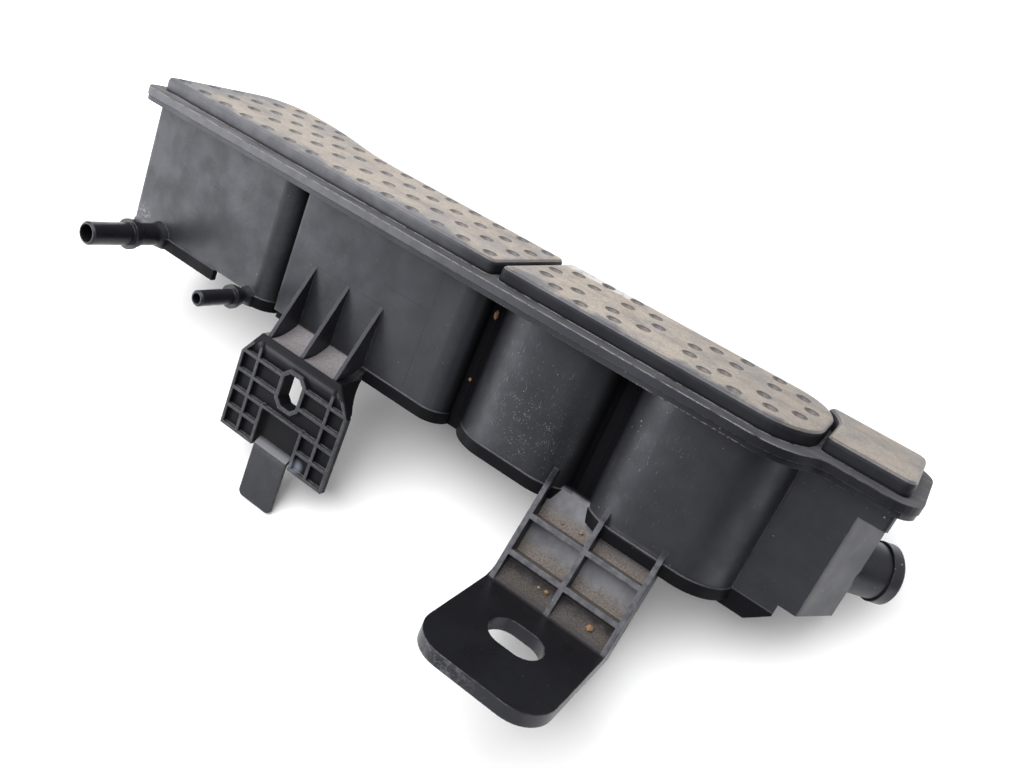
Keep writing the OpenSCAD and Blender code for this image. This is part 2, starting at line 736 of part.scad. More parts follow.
module canister_body() color(CHARCOAL) placed()
    difference() {
        union() {
            difference() {
                shell();
                rim_gaps();
            }
            spigot(tank_spigot_x, tank_spigot_drop, tank_spigot_d, tank_spigot_len, tank_free_len);
            spigot(purge_spigot_x, purge_spigot_drop, purge_spigot_d, purge_spigot_len, purge_free_len);
            vent();
            hanger();
            arm();
            foot_bend();
            foot();
        }
        hollows();
        hanger_slot();
        spigot_bore(tank_spigot_x, tank_spigot_drop, tank_spigot_d, tank_spigot_len);
        spigot_bore(purge_spigot_x, purge_spigot_drop, purge_spigot_d, purge_spigot_len);
        vent_bore();
    }

// Lid

// Heights and insets of a raised field, from its foot to its rounded top edge
field_rings = concat(
    [[-lid_flange_t / 2, 0], [field_h - field_edge_r, 0]],
    [for (a = [30:30:90]) [field_h - field_edge_r * (1 - sin(a)), -field_edge_r * (1 - cos(a))]]);

// Outline of a raised field, grown outwards by g
function field_plan(i, g) = i == 1 ? twin_plan(g, field_corner_r) : i == 2 ? round_field(g) : end_field(g);

module field(i) skin([for (ring = field_rings) [ring[0], field_plan(i, ring[1])]]);

// The space under a raised field
module under_field(i)
    translate([0, 0, seam_z - 1])
        linear_extrude(lid_under_z - seam_z + 1) polygon(field_plan(i, -wall));

// The lid's flange with its first n raised fields
module lid_blank(n)
    if (n == 0)
        translate([0, 0, seam_z]) linear_extrude(lid_flange_t) polygon(plan(flange_overhang));
    else
        union() {
            lid_blank(n - 1);
            field(n);
        }

// Dimples of the first field: seven columns over each of its chambers
function grid_dimples() = [
    for (y = [dimple_front_y, for (k = [0:2]) dimple_second_y + k * dimple_pitch_y])
        for (k = [0:13])
            let (foot = (k < 7 ? c1_end - 6.3 : c2_end - 9.9) - (6 - k % 7) * dimple_pitch_x,
                 lean = tan(column_slant) + (tan(gap_slant) - tan(column_slant)) * foot / c2_end,
                 x = foot + (y - dimple_front_y) * lean)
            if (x > left_edge(y) + 0.55 * dimple_d) [x, y]];

// The short row of dimples in the bulge
function bulge_dimples() = [for (k = [0:2]) [bulge_x - 0.8 + k * dimple_pitch_x, dimple_bulge_y]];

// Where the left edge of the first field lies, at a place across the width
function left_edge(y) = slant_p.x + (y - slant_p.y) * tan(end_slant);

function ring_of(c, r, n, turn, stretch = 1) = [
    for (i = [0:n - 1]) c + r * [stretch * cos(turn + 360 * i / n), sin(turn + 360 * i / n)]];

function rosette(x) =
    let (c = [x, body_w / 2 + 0.7])
    concat(ring_of(c, rosette_r, rosette_n, -90, rosette_stretch), ring_of(c, rosette_inner_r, 4, 45));

module dimples()
    for (p = concat(grid_dimples(), bulge_dimples(), rosette(chamber_x[3] + 1), rosette(chamber_x[4])))
        translate([p.x, p.y, field_h - dimple_depth])
            cylinder(d1 = dimple_floor_d, d2 = dimple_d, h = dimple_depth + EPS, $fn = 24);

module lid() color(DUSTY) placed() {
    difference() {
        lid_blank(3);
        for (i = [1:3])
            under_field(i);
        dimples();
    }
}

// Filling

module slab(i, z0, z1) placed() translate([0, 0, z0]) linear_extrude(z1 - z0) chamber(i, -wall - fill_clear);

module lower_fleece(i) color(FLEECE) slab(i, cavity_z, fleece_top_z);

module carbon_bed(i) color(CARBON) slab(i, fleece_top_z, bed_top_z);

module upper_fleece(i) color(FLEECE) slab(i, bed_top_z, plate_z);

// Holes of a pressure plate, kept clear of its rim and of the spring's seat
module plate_holes(i, springs) {
    reach = floor((chamber_l[i] / 2 - 10) / plate_hole_pitch);
    rows = floor((body_w / 2 - 10) / plate_hole_pitch);
    for (a = [-reach:reach]) for (b = [-rows:rows]) {
        p = [chamber_x[i] + a * plate_hole_pitch, body_w / 2 + b * plate_hole_pitch];
        far = min([for (s = springs) norm(p - s)]);
        if (far > spring_d / 2 + plate_hole_d / 2 + 1)
            translate(p) circle(d = plate_hole_d);
    }
}

function spring_places(i) = i < 3
    ? [[chamber_x[i] - spring_set, body_w / 2], [chamber_x[i] + spring_set, body_w / 2]]
    : [[chamber_x[i], body_w / 2]];

module pressure_plate(i) color(NATURAL) placed() {
    translate([0, 0, plate_z])
        linear_extrude(plate_t)
            difference() {
                chamber(i, -wall - fill_clear);
                plate_holes(i, spring_places(i));
            }
    for (s = spring_places(i))
        translate([s.x, s.y, plate_top_z - EPS])
            cylinder(d = spring_d - 2 * spring_wire - 2 * fill_clear, h = spring_wire);
}

// Rise of the coil after t turns, as a share of its height: the end turns lie flat
function coil_rise(t) = min(1, max(0, (t - flat_turn) / (spring_turns - 2 * flat_turn)));

// A coil from the plate to the underside of the lid
module spring(place) color(STEEL) placed() {
    sides = 8;
    steps = round(spring_turns * 12);
    r = (spring_d - spring_wire) / 2;
    wire_r = spring_wire / 2 / cos(180 / sides);
    rise = lid_under_z - plate_top_z - spring_wire;
    translate([place.x, place.y, plate_top_z + spring_wire / 2])
        skin_tube([for (k = [0:steps])
                      let (a = 360 * spring_turns * k / steps, z = rise * coil_rise(spring_turns * k / steps))
                      [for (i = [0:sides - 1])
                          let (b = 360 * (i + 0.5) / sides, out = r + wire_r * cos(b))
                          [out * cos(a), out * sin(a), z + wire_r * sin(b)]]]);
}

// Skins a row of rings of points into a tube with flat ends
module skin_tube(rings) {
    n = len(rings[0]);
    last = len(rings) - 1;
    polyhedron(
        points = [for (ring = rings) for (p = ring) p],
        faces = concat(
            [[for (i = [0:n - 1]) i]],
            [for (k = [0:last - 1]) for (i = [0:n - 1]) each [
                [k * n + i, (k + 1) * n + i, (k + 1) * n + (i + 1) % n],
                [k * n + i, (k + 1) * n + (i + 1) % n, k * n + (i + 1) % n]]],
            [[for (i = [n - 1:-1:0]) last * n + i]]));
}

canister_body();
lid();
lower_fleece(1);  // lower_fleece_1
lower_fleece(2);  // lower_fleece_2
lower_fleece(3);  // lower_fleece_3
lower_fleece(4);  // lower_fleece_4
carbon_bed(1);  // carbon_bed_1
carbon_bed(2);  // carbon_bed_2
carbon_bed(3);  // carbon_bed_3
carbon_bed(4);  // carbon_bed_4
upper_fleece(1);  // upper_fleece_1
upper_fleece(2);  // upper_fleece_2
upper_fleece(3);  // upper_fleece_3
upper_fleece(4);  // upper_fleece_4
pressure_plate(1);  // pressure_plate_1
pressure_plate(2);  // pressure_plate_2
pressure_plate(3);  // pressure_plate_3
pressure_plate(4);  // pressure_plate_4
spring(spring_places(1)[0]);  // spring_1_left
spring(spring_places(1)[1]);  // spring_1_right
spring(spring_places(2)[0]);  // spring_2_left
spring(spring_places(2)[1]);  // spring_2_right
spring(spring_places(3)[0]);  // spring_3
spring(spring_places(4)[0]);  // spring_4
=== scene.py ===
"""A used charcoal canister of black moulded plastic, dusty and scuffed, on a white table."""

import json

import bmesh
import bpy
from mathutils import Matrix, Vector, noise


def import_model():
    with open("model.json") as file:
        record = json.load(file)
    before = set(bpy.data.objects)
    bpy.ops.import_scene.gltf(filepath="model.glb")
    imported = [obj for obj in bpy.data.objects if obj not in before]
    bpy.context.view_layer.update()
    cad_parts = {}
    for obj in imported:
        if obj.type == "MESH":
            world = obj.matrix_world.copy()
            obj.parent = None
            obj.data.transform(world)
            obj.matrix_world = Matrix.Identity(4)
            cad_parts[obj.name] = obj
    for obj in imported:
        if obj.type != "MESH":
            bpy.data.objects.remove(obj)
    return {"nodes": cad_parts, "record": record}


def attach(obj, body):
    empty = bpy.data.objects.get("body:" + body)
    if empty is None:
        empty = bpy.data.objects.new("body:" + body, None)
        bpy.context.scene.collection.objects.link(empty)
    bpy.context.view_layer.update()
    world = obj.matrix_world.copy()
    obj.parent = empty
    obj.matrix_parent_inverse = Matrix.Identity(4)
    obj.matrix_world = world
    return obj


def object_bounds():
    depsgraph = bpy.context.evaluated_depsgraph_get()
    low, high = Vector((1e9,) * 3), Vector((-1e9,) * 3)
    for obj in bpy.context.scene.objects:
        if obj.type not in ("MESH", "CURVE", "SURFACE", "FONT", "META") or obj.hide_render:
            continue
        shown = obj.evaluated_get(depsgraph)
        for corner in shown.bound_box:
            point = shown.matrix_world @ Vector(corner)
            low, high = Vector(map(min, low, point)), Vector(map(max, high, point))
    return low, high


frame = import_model()
cad_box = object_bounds()
MM = 0.001
UP = (0.0, 0.0, 1.0)

# Camera, as the photograph was taken
CAMERA_PLACE = (0.07986, -0.31289, 0.23334)
CAMERA_RIGHT = Vector((0.79775, 0.47682, 0.36911))
CAMERA_UP = Vector((-0.49289, 0.16302, 0.85468))
FOCAL_PX = 936.28
PICTURE_W = 1024
SENSOR_W = 36.0

# The table touches the tongue's tip, the bulge's lower edge and the toe of the end box
TONGUE_TIP = Vector((-0.1528, 0.0275, -0.0414))
BULGE_FOOT = Vector((-0.2669, 0.1206, 0.0432))
TOE = Vector((0.0688, 0.1047, 0.0398))
TABLE_UP = (TOE - TONGUE_TIP).cross(BULGE_FOOT - TONGUE_TIP).normalized()
TABLE_R = 3.0
TABLE_GAP = 0.2 * MM
GLOW_NEAR = 0.10
GLOW_FAR = 0.48
GLOW_LEAST = 0.06

# Light
AMBIENT = 0.25
CARD_SIZE = (1.3, 0.9)

# Colours, linear
PLASTIC = (0.011, 0.0113, 0.0138)
PLASTIC_PALE = (0.020, 0.0205, 0.0235)
# Near black: the glossy foot and spigots and the mould's lines, and painted shade in grooves, cells, on the rim
# and at the foot of the lid's fields
DEEP = (0.006, 0.006, 0.007)
# Grey film, also used for painted sheen and highlights on lit faces and edges
HAZE_AND_SHEEN = (0.17, 0.172, 0.182)
DUST = (0.46, 0.405, 0.35)
DUST_COOL = (0.30, 0.292, 0.30)
ARM_FILM = (0.19, 0.191, 0.207)
SHELF_DUST = (0.235, 0.218, 0.222)
SAND = (0.205, 0.165, 0.13)
SAND_DARK = (0.062, 0.055, 0.05)
GLARE = (0.66, 0.655, 0.65)
CRUMB = (0.19, 0.09, 0.035)
CRUMB_PALE = (0.30, 0.19, 0.095)
# Pale scuffs and scratches, also used for a painted highlight along the lid's flange rim
SCUFF_AND_HIGHLIGHT = (0.42, 0.42, 0.44)
GLINT = (0.27, 0.29, 0.35)
TABLE_WHITE = (0.86, 0.86, 0.86)
COOL_SHINE = (0.87, 0.88, 1.0)

# Levels and faces of the canister, in millimetres
FRONT_Y = 43.7
RIM = (40.0, 48.9)
WALL_FOOT = 49.5
FLANGE_UNDER = 114.0
LEDGE = 120.8
LID_TOP = 128.0
PLATE_X = (-197.0, -124.0)
PLATE_FRONT_Y = 26.1
SHELF_X = (-194.0, -139.4)
BORE_X = (-169.0, -152.6)
TONGUE_X = (-173.0, -148.0)
FOOT_X = (-34.0, 34.0)
FOOT_TOP = 7.4
PAD_NORMAL = (0.85, -0.53, 0.0)

# Middle and half width of the two rounded chambers, and ends of the mould's lines, in millimetres
ROUND_CHAMBERS = ((-53.0, 34.0), (22.1, 37.3))
MOULD_LINES = ((-183, -138.8, 81.3, 81.7), (-143, -114.4, 91.3, 91.7), (-114.6, -114.2, 52, 110))

# Depth into the foot's arm, distance down it, and where sand starts, is thick and ends in its cells
ARM_IN = (0.0, 0.9343, -0.3566)
ARM_IN_START = 21.26
ARM_DOWN = (0.0, -0.3566, -0.9343)
ARM_DOWN_START = -71.06
ARM_X = (-30.4, 31.4)
ARM_FACE = (0.0, -0.934, 0.357)
ARM_BEND_FACE = (0.0, -0.8, 0.6)
ARM_RIB_TOP = (0.0, 0.357, 0.934)
BEND_START = 43.0
SAND_RUNS = ((13, 20, 25), (31, 38, 43), (43, 51, 62))

# A sheet without thickness in the third field of the lid
FLAP_CENTRE = (38.4, 83.7, 0.0)
FLAP_INNER_R = 18.7
FLAP_OUTER_R = 25.16
FLAP_DEPTH = 0.012

# Places of single marks, in millimetres
SPECKS_PLACE = (-47.0, 43.7, 67.0)
CHAMBER_3_SCUFF = (-60.0, 43.7, 85.0)
CHAMBER_4_SCUFF = (2.0, 43.7, 80.0)
FOOT_SCUFF = (-12.0, -36.2, 3.0)
SPIGOT_SCUFF = (-299.5, 43.7, 54.0)
CELL_GLINT = (-145.4, 28.3, -8.9)

# Place, width and height share of each crumb, in millimetres
CRUMBS = (
    ((-88.0, 54.2, 103.0), 2.2, 1.9),
    ((-87.9, 54.3, 69.0), 1.5, 1.2),
    ((19.0, 30.8, 10.9), 3.4, 0.8),
    ((-5.0, 31.7, 12.6), 2.2, 0.8),
    ((-9.0, 31.7, 12.2), 1.6, 0.8),
    ((-6.2, 45.9, 38.7), 1.9, 0.7),
    ((-15.7, 45.6, 37.8), 1.3, 0.7),
)


class Graph:
    """The nodes of one material, with short spellings. Sizes and places are in millimetres."""

    def __init__(self, name):
        self.material = bpy.data.materials.new(name)
        self.material.use_nodes = True
        self.nodes = self.material.node_tree.nodes
        self.links = self.material.node_tree.links
        self.nodes.clear()
        self.place = self.add("ShaderNodeTexCoord").outputs["Object"]
        self.normal = self.add("ShaderNodeNewGeometry").outputs["Normal"]

    def add(self, kind, inputs=None, **settings):
        node = self.nodes.new(kind)
        for key, value in settings.items():
            setattr(node, key, value)
        for key, value in (inputs or {}).items():
            self.put(node.inputs[key], value)
        return node

    def put(self, socket, value):
        if isinstance(value, bpy.types.NodeSocket):
            self.links.new(value, socket)
        elif socket.type == "RGBA" and len(value) == 3:
            socket.default_value = (*value, 1.0)
        else:
            socket.default_value = value

    def math(self, operation, a, b=0.0):
        return self.add("ShaderNodeMath", {0: a, 1: b}, operation=operation).outputs[0]

    def both(self, *masks):
        total = masks[0]
        for mask in masks[1:]:
            total = self.math("MULTIPLY", total, mask)
        return total

    def either(self, *masks):
        total = masks[0]
        for mask in masks[1:]:
            total = self.math("MAXIMUM", total, mask)
        return total

    def flip(self, mask):
        return self.math("SUBTRACT", 1.0, mask)

    def ramp(self, value, low, high, out_low=0.0, out_high=1.0):
        ends = {"From Min": low, "From Max": high, "To Min": out_low, "To Max": out_high}
        inputs = {"Value": value, **ends}
        return self.add("ShaderNodeMapRange", inputs, interpolation_type="SMOOTHSTEP").outputs["Result"]

    def mix(self, amount, a, b):
        node = self.add("ShaderNodeMix", {0: amount, 6: a, 7: b}, data_type="RGBA")
        return node.outputs[2]

    def vector(self, operation, a, b=(0.0, 0.0, 0.0)):
        node = self.add("ShaderNodeVectorMath", {0: a, 1: b}, operation=operation)
        return node.outputs["Value" if operation in ("DOT_PRODUCT", "DISTANCE", "LENGTH") else "Vector"]

    def turned(self, angles):
        inputs = {"Vector": self.place, "Rotation": angles}
        return self.add("ShaderNodeVectorRotate", inputs, rotation_type="EULER_XYZ").outputs[0]

    def noise(self, size, detail=4.0, rough=0.55, stretch=(1.0, 1.0, 1.0), where=None):
        """Noise whose lumps are about size wide, and longer by stretch along each axis."""
        steps = tuple(1.0 / (size * MM * s) for s in stretch)
        spread = self.vector("MULTIPLY", where or self.place, steps)
        inputs = {"Vector": spread, "Scale": 1.0, "Detail": detail, "Roughness": rough}
        return self.add("ShaderNodeTexNoise", inputs).outputs["Fac"]

    def axis(self, name):
        return self.add("ShaderNodeSeparateXYZ", {0: self.place}).outputs[name]

    def past(self, axis, low, high, out_low=0.0, out_high=1.0):
        """A ramp between two places on an axis."""
        return self.ramp(self.axis(axis), low * MM, high * MM, out_low, out_high)

    def beyond(self, axis, limit):
        return self.math("GREATER_THAN", self.axis(axis), limit * MM)

    def within(self, axis, low, high, soft):
        """1 between low and high along an axis, with soft ends."""
        return self.both(
            self.past(axis, low - soft, low + soft),
            self.past(axis, high + soft, high - soft),
        )

    def along(self, direction, start):
        """Millimetres from a start along a direction."""
        steps = tuple(part / MM for part in direction)
        return self.math("SUBTRACT", self.vector("DOT_PRODUCT", self.place, steps), start)

    def facing(self, direction, low, high):
        """A ramp of how far the surface faces a direction."""
        return self.ramp(self.vector("DOT_PRODUCT", self.normal, direction), low, high)

    def spot(self, centre, radius):
        far = self.vector("DISTANCE", self.place, tuple(Vector(centre) * MM))
        return self.ramp(far, radius * MM, 0.0)

    def scratches(self, angles, width, length, share):
        """Thin broken lines along one direction, on a share of the surface."""
        lines = self.noise(width, 2.0, 0.5, (1.0, 1.0, length / width), self.turned(angles))
        return self.ramp(lines, 1.0 - share, 1.06 - share)

    def specks(self, pitch, size, share):
        """Round specks of one size, in a share of cells of one pitch."""
        inputs = {"Vector": self.place, "Scale": 1.0 / (pitch * MM)}
        cells = self.add("ShaderNodeTexVoronoi", inputs)
        near = self.ramp(cells.outputs["Distance"], size / pitch, 0.4 * size / pitch)
        pick = self.add("ShaderNodeSeparateColor", {0: cells.outputs["Color"]}).outputs[0]
        return self.both(near, self.ramp(pick, 1.0 - share, 1.0 - 0.9 * share))

    def soft_edge(self, radius):
        return self.add("ShaderNodeBevel", {"Radius": radius * MM}, samples=4).outputs[0]

    def edge(self, rounded):
        """1 along the edges that a rounded normal leaves the flat one at."""
        return self.ramp(self.vector("DOT_PRODUCT", rounded, self.normal), 0.995, 0.9)

    def round_off(self, normal, centre, half, share):
        """Turn the normals of a flat front towards those of a round one, by a share."""
        across = self.math("DIVIDE", self.math("SUBTRACT", self.axis("X"), centre * MM), half * MM)
        across = self.math("MINIMUM", self.math("MAXIMUM", across, -0.97), 0.97)
        inward = self.math("SQRT", self.math("SUBTRACT", 1.0, self.math("MULTIPLY", across, across)))
        parts = {"X": across, "Y": self.math("MULTIPLY", inward, -1.0)}
        round_one = self.add("ShaderNodeCombineXYZ", parts).outputs[0]
        front = self.both(
            self.facing((0.0, -1.0, 0.0), 0.02, 0.2),
            self.within("X", centre - half, centre + half, 0.5),
            self.within("Y", FRONT_Y - 1, FRONT_Y + 20, 0.5),
            self.within("Z", WALL_FOOT, FLANGE_UNDER, 0.3),
        )
        inputs = {0: self.both(front, share), 4: normal, 5: round_one}
        mixed = self.add("ShaderNodeMix", inputs, data_type="VECTOR").outputs[1]
        return self.vector("NORMALIZE", mixed)

    def bump(self, height, strength, distance, normal):
        inputs = {"Height": height, "Strength": strength, "Distance": distance * MM, "Normal": normal}
        return self.add("ShaderNodeBump", inputs).outputs[0]

    def finish(self, color, roughness, normal, specular=0.5, metallic=0.0, left_out=None):
        inputs = {"Base Color": color, "Roughness": roughness, "Normal": normal, "Metallic": metallic}
        inputs.update({"Specular IOR Level": specular, "Specular Tint": COOL_SHINE})
        surface = self.add("ShaderNodeBsdfPrincipled", inputs).outputs[0]
        if left_out is not None:
            clear = self.add("ShaderNodeBsdfTransparent").outputs[0]
            surface = self.add("ShaderNodeMixShader", {0: left_out, 1: surface, 2: clear}).outputs[0]
        self.add("ShaderNodeOutputMaterial", {"Surface": surface})
        return self.material


def wall_film_and_sheen(g, color):
    """Smears of thin grey film on the walls, mixed in more strongly towards the left so the walls grow paler
    there, and painted sheen on the end pad's face.
    """
    left = g.past("X", 0, -290)
    smears = g.ramp(g.noise(26, 6.0, 0.6, (1.0, 1.0, 2.2)), 0.3, 0.72)
    grain = g.ramp(g.noise(1.4, 5.0, 0.75), 0.3, 0.7, 0.65, 1.35)
    color = g.mix(g.both(smears, grain, g.ramp(left, 0.0, 1.0, 0.02, 0.13)), color, HAZE_AND_SHEEN)
    # Painted sheen: the end pad's face, picked by the way it faces, is painted paler in smears, as a reflection
    # of the bright side.
    pad_sheen = g.both(g.past("X", 86, 88), g.facing(PAD_NORMAL, 0.9, 0.97))
    return g.mix(g.both(pad_sheen, g.ramp(smears, 0.0, 1.0, 0.2, 0.45)), color, HAZE_AND_SHEEN)


def hollows(g):
    """1 deep in the grooves between the chambers, and 1 on the rim under the walls: the places where shade is
    painted.
    """
    deep = g.both(g.past("Y", FRONT_Y + 2, FRONT_Y + 10), g.past("Y", 60, 57))
    groove = g.both(deep, g.within("X", -208, -10, 2))
    rim = g.both(g.within("Z", *RIM, 0.3), g.past("Y", 40, 43))
    return groove, rim


def wall_marks(g, color):
    """Scratches and pale specks, thickest low on the two rounded chambers, and two rubbed places."""
    patches = g.ramp(g.noise(30, 3.0), 0.42, 0.66)
    right = g.past("X", -90, -60, 0.25, 1.0)
    lines = g.either(
        g.scratches((0.3, 0.2, 0.0), 0.30, 9, 0.25),
        g.scratches((0.2, -0.5, 0.4), 0.26, 6, 0.23),
    )
    color = g.mix(g.both(lines, patches, right, 0.5), color, SCUFF_AND_HIGHLIGHT)
    upright = g.scratches((0.08, 0.05, 0.0), 0.35, 16, 0.34)
    chambers = g.either(g.spot(CHAMBER_3_SCUFF, 46), g.spot(CHAMBER_4_SCUFF, 40))
    color = g.mix(g.both(upright, chambers, 0.22), color, SCUFF_AND_HIGHLIGHT)
    low = g.spot(SPECKS_PLACE, 30)
    color = g.mix(g.both(g.specks(1.1, 0.22, 0.3), low, 0.8), color, SCUFF_AND_HIGHLIGHT)
    clumps = g.ramp(g.noise(5, 3.0), 0.45, 0.62)
    flecks = g.ramp(g.noise(0.55, 3.0, 0.7), 0.56, 0.68)
    color = g.mix(g.both(flecks, clumps, low, 0.5), color, SCUFF_AND_HIGHLIGHT)
    dots = g.either(g.specks(1.9, 0.30, 0.16), g.specks(4.3, 0.55, 0.12))
    color = g.mix(g.both(dots, patches, right, 0.75), color, SCUFF_AND_HIGHLIGHT)
    sides = g.facing(UP, 0.6, 0.3)
    places = g.either(g.spot(FOOT_SCUFF, 20), g.both(g.spot(SPIGOT_SCUFF, 8), 0.6))
    rubs = g.both(sides, places, g.ramp(g.noise(1.6, 5.0, 0.8), 0.44, 0.62))
    return g.mix(g.both(rubs, 0.7), color, SCUFF_AND_HIGHLIGHT)


def mould_lines(g, color):
    """The thin steps that the mould left on the second chamber, and dirt along the flange's lower edge."""
    wall = g.past("Y", FRONT_Y - 0.5, FRONT_Y)
    for x0, x1, z0, z1 in MOULD_LINES:
        line = g.both(wall, g.within("X", x0, x1, 0.15), g.within("Z", z0, z1, 0.15))
        color = g.mix(g.both(line, 0.75), color, DEEP)
    lip = g.both(g.within("Z", FLANGE_UNDER - 0.1, FLANGE_UNDER + 0.7, 0.2), g.within("X", -14, 36, 4))
    grit = g.ramp(g.noise(1.5, 4.0, 0.7), 0.42, 0.6)
    return g.mix(g.both(lip, grit, 0.35), color, DUST)


def arm_dust_and_shade(g, color):
    """Grey film in the cells of the foot's arm, with sand at the lower end of each cell, and painted shade
    where the arm bends below the last cross rib, where the film is also thinner.
    """
    depth = g.along(ARM_IN, ARM_IN_START)
    down = g.along(ARM_DOWN, ARM_DOWN_START)
    span = g.both(
        g.within("X", *ARM_X, 0.4),
        g.ramp(depth, -1.5, -0.8),
        g.ramp(depth, 10, 9),
        g.past("Z", 51.5, 50),
        g.past("Z", 6.2, FOOT_TOP),
    )
    flat = g.facing(ARM_FACE, 0.8, 0.93)
    web = g.both(span, flat, g.ramp(depth, 6, 7.5))
    bend = g.both(
        span,
        g.ramp(down, BEND_START, BEND_START + 1.5),
        g.ramp(depth, 1.2, 2.4),
        g.facing(ARM_BEND_FACE, 0.6, 0.8),
    )
    # Painted shade: the bend is darkened, most just below the last cross rib.
    color = g.mix(g.both(bend, g.ramp(down, 50, 44, 0.3, 0.8)), color, DEEP)
    cloud = g.ramp(g.noise(9), 0.3, 0.65, 0.7, 1.0)
    # Less film from the last cross rib down: partly barer plastic, partly painted shade under the rib.
    dim = g.ramp(down, 41, 46, 1.0, 0.2)
    color = g.mix(g.both(web, cloud, dim, 0.95), color, ARM_FILM)
    ribs = g.both(span, flat, g.ramp(depth, 2, 1))
    color = g.mix(g.both(ribs, g.ramp(g.noise(3), 0.3, 0.7, 0.15, 0.45)), color, ARM_FILM)
    ragged = g.both(g.math("SUBTRACT", g.noise(3.5, 5.0, 0.75), 0.5), 14.0)
    border = g.math("ADD", down, ragged)
    runs = (g.both(g.ramp(border, start, thick), g.ramp(down, end + 1, end)) for start, thick, end in SAND_RUNS)
    low = g.either(*runs)
    tops = g.both(span, g.facing(ARM_RIB_TOP, 0.6, 0.85))
    grains = g.ramp(g.noise(0.7, 5.0, 0.75), 0.36, 0.64)
    lying = g.both(g.either(web, g.both(bend, 0.45)), low)
    sand = g.both(g.either(lying, g.both(tops, 0.7)), 0.8)
    color = g.mix(sand, color, g.mix(grains, SAND_DARK, SAND))
    return color, g.either(web, bend, tops)


def shelf_dust(g, color):
    """Settled dust on the shelves above the hanging plate."""
    fine = g.ramp(g.noise(1.1, 4.0, 0.7), 0.25, 0.7, 0.6, 1.0)
    shelf = g.both(
        g.within("X", *SHELF_X, 0.4),
        g.within("Y", PLATE_FRONT_Y + 0.5, FRONT_Y - 0.3, 0.5),
        g.within("Z", 36, 62, 1.0),
        g.facing(UP, 0.48, 0.62),
    )
    return g.mix(g.both(shelf, fine, 0.95), color, SHELF_DUST), shelf


def hanger_marks_and_light(g, color):
    """The hanging plate's rubbed ribs, a darker top strip on its front, painted shade in its cells and bore
    with dust on their floors, painted light on the tongue's ramp and a painted glint; and 1 where they are
    dull.
    """
    plate = g.both(g.within("X", *PLATE_X, 1.0), g.past("Z", 46, 44), g.past("Z", -13, -12))
    front = g.both(plate, g.past("Y", PLATE_FRONT_Y + 0.4, PLATE_FRONT_Y))
    rub = g.both(g.ramp(g.noise(2.2), 0.3, 0.7, 0.03, 0.2), g.past("Z", 40, 37))
    color = g.mix(g.both(front, rub), color, HAZE_AND_SHEEN)
    band = g.both(front, g.past("Z", 36, 37.5))
    color = g.mix(g.both(band, 0.9), color, DEEP)
    cells = g.both(plate, g.within("Y", PLATE_FRONT_Y + 0.7, 40, 0.4))
    bore = g.both(g.within("X", *BORE_X, 0.5), g.within("Z", 13, 36, 0.5))
    floors = g.both(cells, g.flip(bore), g.past("Z", 35, 34), g.facing(UP, 0.6, 0.9))
    # Painted shade: the insides of the cells and the bore are darkened to near black.
    color = g.mix(g.both(cells, 0.85), color, DEEP)
    settled = g.ramp(g.noise(1.3), 0.3, 0.7, 0.1, 0.45)
    color = g.mix(g.both(floors, settled), color, SHELF_DUST)
    # Painted light: the tongue's upward-facing ramp is painted paler.
    lit_slope = g.both(
        g.within("X", TONGUE_X[0] + 1, TONGUE_X[1] - 1, 0.5),
        g.within("Z", -24, -8, 1),
        g.past("Y", 40, 35),
        g.facing(UP, 0.3, 0.6),
    )
    color = g.mix(g.both(lit_slope, 0.7), color, HAZE_AND_SHEEN)
    # Painted glint: a small bluish highlight in one cell of the hanging plate.
    color = g.mix(g.both(g.spot(CELL_GLINT, 5), 0.9), color, GLINT)
    tongue = g.both(g.within("X", *TONGUE_X, 1), g.past("Z", -12, -15))
    dim = g.both(g.either(front, tongue), 0.3)
    return color, g.either(g.both(cells, g.flip(floors)), g.both(band, 0.9), dim)


